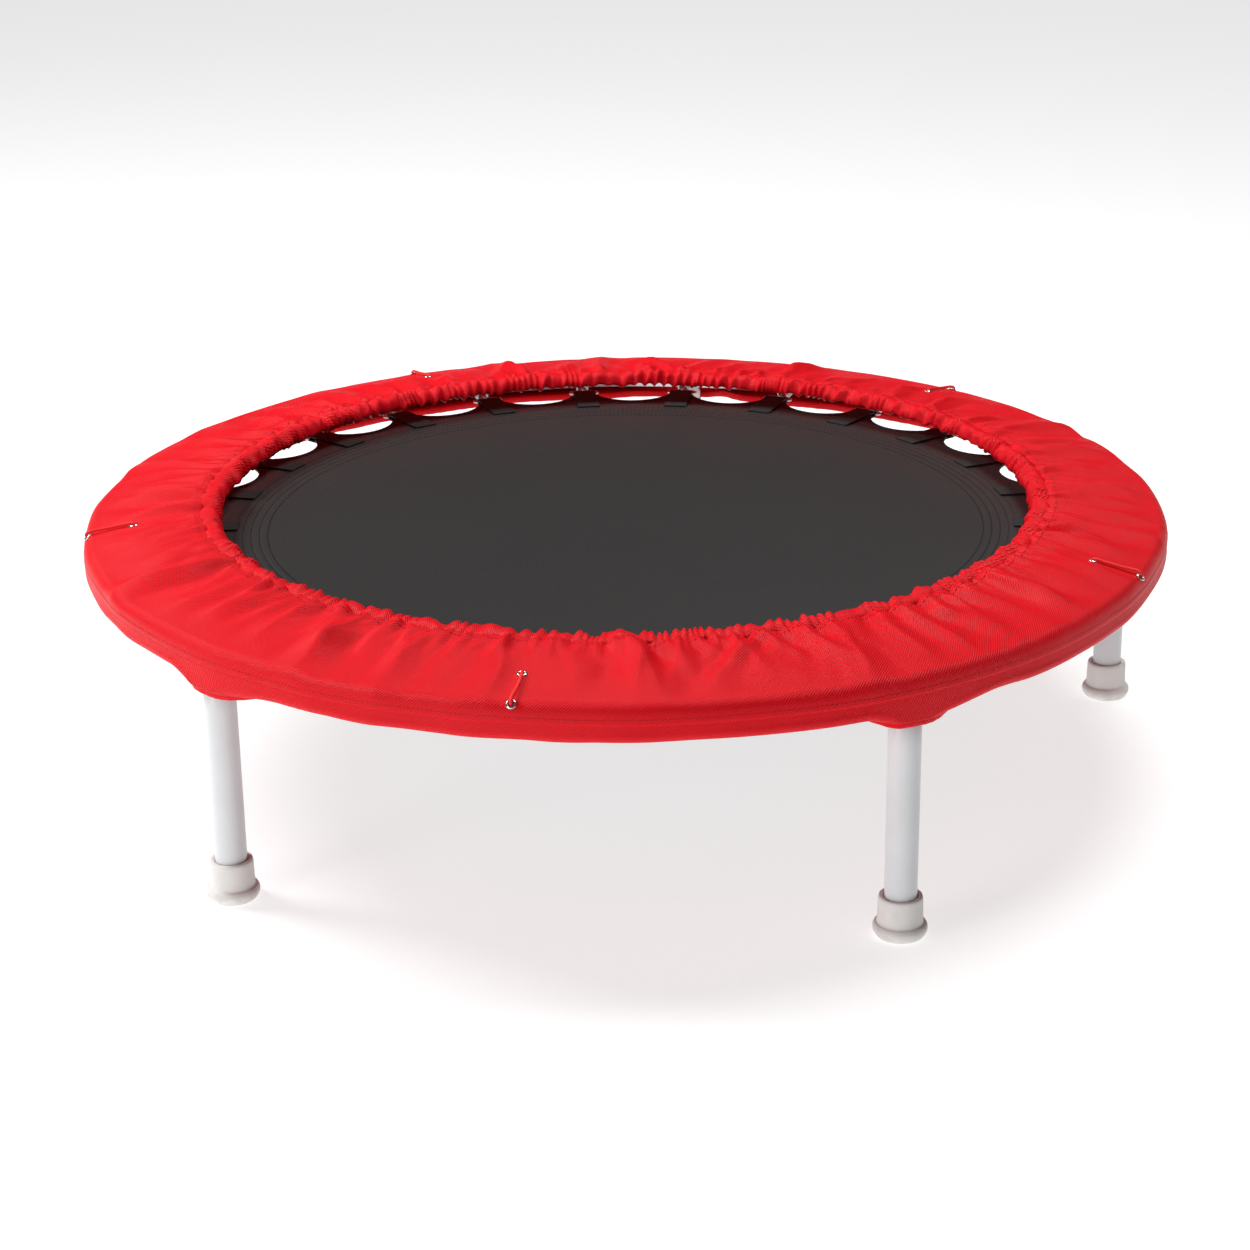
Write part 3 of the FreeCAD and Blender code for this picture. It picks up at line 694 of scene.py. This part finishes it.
# ---------------------------------------------------------------- stitches
def stitch_part(start, end, up, width, height):
    """A short raised thread between two points."""
    along = end - start
    side = np.cross(along, up)
    side *= width / 2 / np.linalg.norm(side)
    lift = up * height
    inset = along * 0.25
    points = np.array([
        start, start + side * 0.6, start - side * 0.6,
        start + inset + side + lift * 0.6, start + inset + lift, start + inset - side + lift * 0.6,
        end - inset + side + lift * 0.6, end - inset + lift, end - inset - side + lift * 0.6,
        end, end + side * 0.6, end - side * 0.6,
    ])
    faces = [
        [0, 1, 3, 4], [0, 4, 5, 2], [3, 6, 7, 4], [4, 7, 8, 5],
        [6, 10, 9, 7], [7, 9, 11, 8], [1, 0, 2, 5, 8, 11, 9, 10, 6, 3],
    ]
    return points, faces


def stitch_row(place, count, width=0.0007, height=0.0005):
    """Stitches round the trampoline; place(turns) gives points and outward normals."""
    filled = 0.62  # share of each stitch's pitch that shows
    starts = np.arange(count) / count
    a, up = place(starts)
    b, _ = place(starts + filled / count)
    return [stitch_part(a[i], b[i], up[i], width, height) for i in range(count)]


def surface_place(rows, row, lift=0.0):
    """place() for a row of a round grid of points."""
    ring = rows[:, row]
    before, after = rows[:, max(row - 1, 0)], rows[:, min(row + 1, rows.shape[1] - 1)]
    around = np.roll(ring, -1, 0) - np.roll(ring, 1, 0)
    normal = np.cross(around, after - before)
    normal /= np.linalg.norm(normal, axis=1)[:, None]
    outward = ring * [1, 1, 0]
    outward = outward / np.linalg.norm(outward, axis=1)[:, None] * 0.5 + [0, 0, 1]
    normal *= np.sign((normal * outward).sum(1))[:, None]
    count = len(ring)

    def place(turns):
        x = (turns % 1) * count
        i = np.floor(x).astype(int) % count
        f = (x - np.floor(x))[:, None]
        j = (i + 1) % count
        return ring[i] * (1 - f) + ring[j] * f + normal[i] * lift, normal[i]

    return place


def make_cover_stitches():
    points, _ = panel_points()
    gather = surface_place(points, 2, 0.0002)
    seam = surface_place(points, PANEL_ROWS - 3, 0.0001)
    parts = stitch_row(gather, 700) + stitch_row(seam, 800, height=0.0004)
    threads = joined("cover_stitches", parts, THREAD_RED)
    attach(threads, "frame")


# ---------------------------------------------------------------- eyelets and tie cords
def frame_at(turn, r, z, facing):
    """A matrix whose Z is the facing direction, in the upright plane at that turn."""
    c, s = math.cos(TAU * turn), math.sin(TAU * turn)
    out = Vector((c, s, 0))
    axis = (out * facing[0] + Vector((0, 0, 1)) * facing[1]).normalized()
    across = Vector((-s, c, 0))
    matrix = Matrix((across.cross(axis) * -1, across, axis)).transposed().to_4x4()
    matrix.translation = out * r + Vector((0, 0, z))
    return matrix


def eyelet_places():
    """(radius, height) and facing of the inner and the outer eyelet on the cover."""
    points, normals, _ = panel_profile()
    inner = int(np.argmin(np.abs(points[:, 0] - (RING_RADIUS - 0.0265))))
    outer_angle = math.radians(40)
    outer_up = np.array([math.sin(outer_angle), math.cos(outer_angle)])
    return (points[inner], normals[inner]), (np.array(SHOULDER) + SHOULDER_BEND * outer_up, outer_up)


def make_eyelets():
    flange, hole, sides = 0.0046, 0.0024, 36
    profile = [
        (hole, -0.0030), (hole, 0.0007), (hole + 0.0004, 0.0011), (hole + 0.0010, 0.0013),
        (flange - 0.0007, 0.0010), (flange - 0.0001, 0.0006), (flange, 0.0001), (flange - 0.0002, -0.0002),
        (hole + 0.0008, -0.0001), (hole + 0.0007, -0.0030),
    ]
    parts = []
    for turn in TIE_TURNS:
        for (r, z), facing in eyelet_places():
            ring = lathe_part(profile, (0.0, 0.0), sides, hollow=True)
            parts.append(moved(ring, frame_at(turn, r, z, facing)))
    eyelets = joined("cover_eyelets", parts, NICKEL)
    sharp_at(eyelets, 50)
    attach(eyelets, "frame")
    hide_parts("eyelets")


def smooth_line(points):
    """A closed curve through the points."""
    points, steps = np.asarray(points, float), 8
    t = np.arange(steps)[:, None] / steps
    out = []
    for i in range(len(points)):
        p0, p1, p2, p3 = (points[(i + k) % len(points)] for k in (-1, 0, 1, 2))
        square, cube = 2 * p0 - 5 * p1 + 4 * p2 - p3, 3 * p1 - p0 - 3 * p2 + p3
        out.append(0.5 * (2 * p1 + (p2 - p0) * t + square * t**2 + cube * t**3))
    return np.concatenate(out)


def make_tie_cords():
    """A cord over the cover through both eyelets, and back round the ring under it."""
    (inner, inner_up), (outer, outer_up) = eyelet_places()
    radius, above, loop = 0.00145, 0.0017, TUBE_RADIUS + 0.0016
    ring = np.array([RING_RADIUS, RING_Z])
    outer_along = np.array([outer_up[1], -outer_up[0]])
    crest = outer + outer_up * 0.0021 - outer_along * 0.0058
    over = [inner - inner_up * 0.004, inner + inner_up * above, inner * 0.75 + crest * 0.25 + inner_up * 0.0016]
    over += [inner * 0.4 + crest * 0.6 + inner_up * 0.0006, crest]
    over += [outer + outer_up * 0.0024, outer - outer_up * 0.0040]
    angles = np.radians([15, -20, -60, -100, -140])
    under = [ring + loop * np.array([math.cos(a), math.sin(a)]) for a in angles]
    route = over + under + [ring + np.array([-0.0165, 0.0005])]
    parts = []
    for number, turn in enumerate(TIE_TURNS):
        sway = 0.0010 * math.sin(2.3 * number + 1)
        c, s = math.cos(TAU * turn), math.sin(TAU * turn)
        points = []
        for k, (r, z) in enumerate(route):
            aside = sway if k in (2, 3) else 0.0
            points.append([r * c - aside * s, r * s + aside * c, z])
        parts.append(tube_part(smooth_line(points), radius, 12, closed=True))
    cords = joined("cover_tie_cords", parts, CORD_RED)
    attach(cords, "frame")
    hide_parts("tie_cords")


# ---------------------------------------------------------------- mat
LUG_R, LUG_HALF = 0.42, 0.013  # a lug's end and half its width
SCALLOP_R = 0.396  # the bottom of the scallops between the lugs
STITCH_RADII = (0.343, 0.351, 0.359, 0.367, 0.375)


def mat_edge(turn):
    """The mat's radius round its scalloped edge."""
    pitch = 1 / SPRING_COUNT
    away = ((turn - FIRST_TURN + pitch / 2) % pitch - pitch / 2) * TAU
    lug_angle = math.atan2(LUG_HALF, LUG_R)
    psi = math.pi / SPRING_COUNT - np.abs(away)
    far = math.hypot(LUG_R, LUG_HALF)
    chord_angle = math.pi / SPRING_COUNT - lug_angle
    half_chord, chord_r = far * math.sin(chord_angle), far * math.cos(chord_angle)
    sagitta = chord_r - SCALLOP_R
    bend = (half_chord**2 + sagitta**2) / (2 * sagitta)
    centre = SCALLOP_R + bend
    inside = np.maximum(bend**2 - (centre * np.sin(psi)) ** 2, 0)
    gap = centre * np.cos(psi) - np.sqrt(inside)
    return np.where(np.abs(away) < lug_angle, LUG_R / np.cos(away), gap)


def mat_height(r):
    """The stitched edge stands a little proud in rolls between the rows of stitches."""
    first, last = STITCH_RADII[0], STITCH_RADII[-1]
    pitch = STITCH_RADII[1] - first
    rolls = 0.0005 * np.abs(np.sin(np.pi * (r - first) / pitch)) ** 0.6
    inside = step(r, first - 0.001, first) * (1 - step(r, last, last + 0.003))
    return rolls * inside + 0.0003 * step(r, first, last)


def make_mat():
    columns = SPRING_COUNT * 28
    inner_rows = np.linspace(0.004, 0.336, 14)
    edge_rows = np.arange(0.338, 0.3795, 0.001)
    share = np.linspace(0, 1, 8)[1:]
    turn = np.arange(columns)[:, None] / columns
    edge = mat_edge(turn)
    fixed = np.concatenate([inner_rows, edge_rows])[None, :] + 0 * turn
    outer = fixed[:, -1:] + (edge - fixed[:, -1:]) * share[None, :]
    r = np.concatenate([fixed, outer], axis=1)
    turns = turn + 0 * r
    z = MAT_Z + MAT_THICKNESS / 2 + mat_height(r)
    points = round_points(turns, r, z)
    mat = grid_piece("mat", points[:, ::-1], MAT)
    # lay the weave's map flat, then close the middle
    shape = mat.data
    layer = shape.uv_layers.new(name="Cloth")
    flat = np.empty(len(shape.vertices) * 3, np.float32)
    shape.vertices.foreach_get("co", flat)
    flat = flat.reshape(-1, 3)
    index = np.empty(len(shape.loops), np.int32)
    shape.loops.foreach_get("vertex_index", index)
    layer.data.foreach_set("uv", flat[index, :2].reshape(-1))
    work = bmesh.new()
    work.from_mesh(shape)
    rim = [e for e in work.edges if e.is_boundary and e.verts[0].co.xy.length < 0.01]
    bmesh.ops.holes_fill(work, edges=rim)
    uv = work.loops.layers.uv["Cloth"]
    for face in work.faces:
        if len(face.verts) > 4:
            face.smooth = True
            for loop in face.loops:
                loop[uv].uv = loop.vert.co.xy
    work.to_mesh(shape)
    work.free()
    thickened(mat, MAT_THICKNESS)
    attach(mat, "mat")
    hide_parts("mat_fabric")


def make_mat_stitches():
    parts = []
    for radius in STITCH_RADII:
        def place(turns, radius=radius):
            z = MAT_Z + MAT_THICKNESS / 2 + 0.0003 + 0 * turns
            up = np.tile([0.0, 0.0, 1.0], (len(turns), 1))
            return round_points(turns, radius + 0 * turns, z), up
        parts += stitch_row(place, 480, width=0.0008)
    threads = joined("mat_stitches", parts, THREAD_BLACK)
    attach(threads, "mat")


# ---------------------------------------------------------------- springs
def spring_path():
    """The wire's middle: eye round the wire ring, coil, and the end bent up inside the tube."""
    coil_r, turns, start, pitch = 0.0058, 10, 0.4505, 0.00245
    eye_r, eye = 0.0032, 0.4434
    points = []
    for angle in np.linspace(math.radians(-150), math.radians(165), 22):
        points.append([eye - eye_r * math.cos(angle + math.pi), 0.0006, -eye_r * math.sin(angle + math.pi)])
    points = points[::-1]
    points.append([eye + eye_r + 0.0015, 0.0002, 0.0028])
    steps = 18
    for k in range(turns * steps + 1):
        angle = math.pi / 2 + TAU * k / steps
        grow = min(1.0, 0.55 + k / (0.8 * steps), 0.55 + (turns * steps - k) / (0.8 * steps))
        r = coil_r * grow
        points.append([start + pitch * k / steps, r * math.cos(angle), r * math.sin(angle)])
    end = start + pitch * turns
    inside = RING_RADIUS - TUBE_RADIUS + 0.0042
    points += [[end + 0.0022, 0.0, 0.0014], [end + 0.0045, 0.0, 0.0002], [inside - 0.0020, 0.0, 0.0]]
    points += [[inside - 0.0004, 0.0, 0.0006], [inside, 0.0, 0.0025], [inside, 0.0, 0.0060]]
    return np.array(points)


def make_springs():
    wire_radius = 0.0012
    points, faces = tube_part(spring_path(), wire_radius)
    for number in range(SPRING_COUNT):
        turn = FIRST_TURN + number / SPRING_COUNT
        c, s = math.cos(TAU * turn), math.sin(TAU * turn)
        spun = points @ np.array([[c, s, 0], [-s, c, 0], [0, 0, 1]]) + [0, 0, MAT_Z]
        spring = joined(f"springs_{number + 1}", [(spun, faces)], SPRING_STEEL)
        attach(spring, "frame")
        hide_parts("springs")
        spring.parent = None
        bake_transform(spring)


# ---------------------------------------------------------------- legs
def leg_box(kind, number):
    low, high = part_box(f"{kind}_{number}")
    middle = (low + high) / 2
    return low, high, (middle.x, middle.y)


def make_leg_tube(number):
    low, high, centre = leg_box("leg_tube", number)
    radius, wall, edge = (high.x - low.x) / 2, 0.0015, 0.0003
    profile = [(radius - wall, low.z), (radius - edge, low.z), (radius, low.z + edge)]
    profile += [(radius, z) for z in np.linspace(low.z + 0.02, high.z - 0.02, 6)]
    profile += [(radius, high.z - edge), (radius - edge, high.z), (radius - wall, high.z)]
    tube = joined(f"leg_{number}_tube", [lathe_part(profile, centre, 72, hollow=True)], LEG_WHITE)
    sharp_at(tube, 50)
    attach(tube, f"leg_{number}")
    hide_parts(f"leg_tube_{number}")


def rounded_profile(corners):
    """(radius, height) points through corners given as (radius, height, bend radius)."""
    steps, out = 5, []
    for i, (r, z, bend) in enumerate(corners):
        here = np.array([r, z])
        if bend == 0 or i in (0, len(corners) - 1):
            out.append(here)
            continue
        back = np.array(corners[i - 1][:2]) - here
        ahead = np.array(corners[i + 1][:2]) - here
        reach = min(bend, 0.45 * np.linalg.norm(back), 0.45 * np.linalg.norm(ahead))
        a = here + back / np.linalg.norm(back) * reach
        b = here + ahead / np.linalg.norm(ahead) * reach
        for k in range(steps + 1):
            t = k / steps
            out.append((1 - t) ** 2 * a + 2 * t * (1 - t) * here + t * t * b)
    return out


def make_foot(number):
    _, _, centre = leg_box("leg_foot", number)
    bore = 0.01402
    corners = [
        (0.0, 0.0012, 0), (0.0150, 0.0012, 0), (0.0158, 0.0, 0.0003), (0.0203, 0.0, 0.0012),
        (0.0232, 0.0045, 0.0030), (0.0236, 0.0088, 0.0022), (0.0220, 0.0118, 0.0018), (0.0199, 0.0126, 0.0010),
        (0.0195, 0.0150, 0.0012), (0.0191, 0.0345, 0.0015), (0.0184, 0.0368, 0.0014), (0.0160, 0.0370, 0.0010),
        (0.0147, 0.0362, 0.0010), (bore, 0.0340, 0.0005), (bore, 0.0060, 0), (0.0, 0.0060, 0),
    ]
    foot = joined(f"leg_{number}_foot", [lathe_part(rounded_profile(corners), centre, 96)], RUBBER)
    sharp_at(foot, 60)
    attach(foot, f"leg_{number}")
    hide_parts(f"leg_foot_{number}")


def make_stud(number):
    """The stud with its thread cut as a real helix."""
    low, high, centre = leg_box("leg_stud", number)
    pitch, depth, radius, sides = 0.00175, 0.0009, 0.006, 32
    rows = int((high.z - low.z) / pitch * 8)  # eight rows to a turn of the thread
    angle = np.arange(sides)[None, :] / sides
    z = np.linspace(low.z, high.z, rows)[:, None] + 0 * angle
    phase = (z / pitch - angle) % 1
    thread = np.clip(1.35 * np.abs(2 * phase - 1) - 0.12, 0, 1)
    taper = np.minimum(1, (high.z - z) / 0.0015) * 0.0015 - 0.0015
    r = radius - depth * thread + taper
    x, y = centre[0] + r * np.cos(TAU * angle), centre[1] + r * np.sin(TAU * angle)
    points = np.stack([x, y, z], axis=-1)
    faces = ring_faces(rows, sides) + end_caps(rows, sides)
    stud = joined(f"leg_{number}_stud", [(points.reshape(-1, 3), faces)], ZINC)
    sharp_at(stud, 40)
    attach(stud, f"leg_{number}")
    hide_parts(f"leg_stud_{number}")


# ---------------------------------------------------------------- carried-over nodes
def dress_nodes():
    looks = {
        "frame_ring": FRAME_WHITE,
        "leg_socket": FRAME_WHITE,
        "leg_plug": LEG_WHITE,
        "leg_washer": NYLON,
        "tab_rings": SPRING_STEEL,
        "mat_edge_binding": WEBBING,
        "mat_edge_reinforcement": WEBBING,
        "mat_tabs": WEBBING,
        "inner_casing_elastic": ELASTIC,
        "eyelet_washers": NICKEL,
    }
    for name, piece in frame["nodes"].items():
        for start, look in looks.items():
            if name.startswith(start):
                for slot in piece.material_slots:
                    slot.link = "OBJECT"
                    slot.material = look


# ---------------------------------------------------------------- camera, lights and floor
def make_camera():
    """Three-quarter view from above the front edge, turned a little in its own plane."""
    place = Vector((0.0, -2.5287, 1.0903))
    pitch, yaw, roll = (math.radians(a) for a in (21.119, 0.036, -0.756))
    forward = Vector((-math.sin(yaw) * math.cos(pitch), math.cos(yaw) * math.cos(pitch), -math.sin(pitch)))
    right = Vector((math.cos(yaw), math.sin(yaw), 0))
    up = right.cross(forward)
    rolled_right = right * math.cos(roll) + up * math.sin(roll)
    rolled_up = up * math.cos(roll) - right * math.sin(roll)
    data = bpy.data.cameras.new("camera")
    data.lens, data.sensor_width = 79.66, 36.0
    camera = bpy.data.objects.new("camera", data)
    turned = Matrix((rolled_right, rolled_up, -forward)).transposed().to_4x4()
    camera.matrix_world = Matrix.Translation(place) @ turned
    bpy.context.scene.collection.objects.link(camera)
    bpy.context.scene.camera = camera


def make_light(name, place, target, size, power):
    data = bpy.data.lights.new(name, "AREA")
    data.shape, data.size, data.energy = "DISK", size, power
    light = bpy.data.objects.new(name, data)
    light.location = place
    aim = Vector(target) - Vector(place)
    light.rotation_euler = aim.to_track_quat("-Z", "Y").to_euler()
    bpy.context.scene.collection.objects.link(light)


def make_stage():
    m, tree, shader = material("floor", (0.50, 0.50, 0.50), 0.8, specular=0.0)
    tone = object_noise(tree, 2.0, 2.0)
    tree.links.new(blended(tree, tone, (0.49, 0.49, 0.49), (0.51, 0.51, 0.51)), shader.inputs["Base Color"])
    shader.inputs["Emission Color"].default_value = (1, 1, 1, 1)
    shader.inputs["Emission Strength"].default_value = 0.72
    mesh = bpy.data.meshes.new("floor")
    reach = 60.0
    corners = [(-reach, -reach, 0), (reach, -reach, 0), (reach, reach, 0), (-reach, reach, 0)]
    mesh.from_pydata(corners, [], [(0, 1, 2, 3)])
    floor = new_object("floor", mesh, m)
    world = bpy.data.worlds.new("world")
    world.use_nodes = True
    tree = world.node_tree
    background = tree.nodes["Background"]
    # dim near the horizon and bright overhead, most of all behind and to the left
    x, y, z = axes(tree, tree.nodes.new("ShaderNodeTexCoord").outputs["Generated"])
    lean = maths(tree, "ADD", maths(tree, "MULTIPLY", y, 0.25), maths(tree, "MULTIPLY", x, -0.18))
    brightness = ranged(tree, maths(tree, "ADD", z, lean), 0.05, 0.95, 0.42, 1.90)
    tree.links.new(brightness, background.inputs["Strength"])
    bpy.context.scene.world = world
    make_light("key", (-2.2, 0.7, 2.4), (0, 0, 0.2), 1.2, 72)
    make_light("top", (0.7, 0.5, 2.8), (0, 0, 0.2), 1.2, 50)
    make_light("side", (-2.6, -2.5, 0.9), (0, 0, 0.12), 1.6, 44)
    bpy.context.scene.view_settings.view_transform = "Standard"


make_camera()
make_stage()
dress_nodes()
make_cover_top()
make_casing()
make_side_band()
make_hem()
make_cover_stitches()
make_eyelets()
make_tie_cords()
make_mat()
make_mat_stitches()
make_springs()
for leg in range(1, LEG_COUNT + 1):
    make_leg_tube(leg)
    make_foot(leg)
    make_stud(leg)
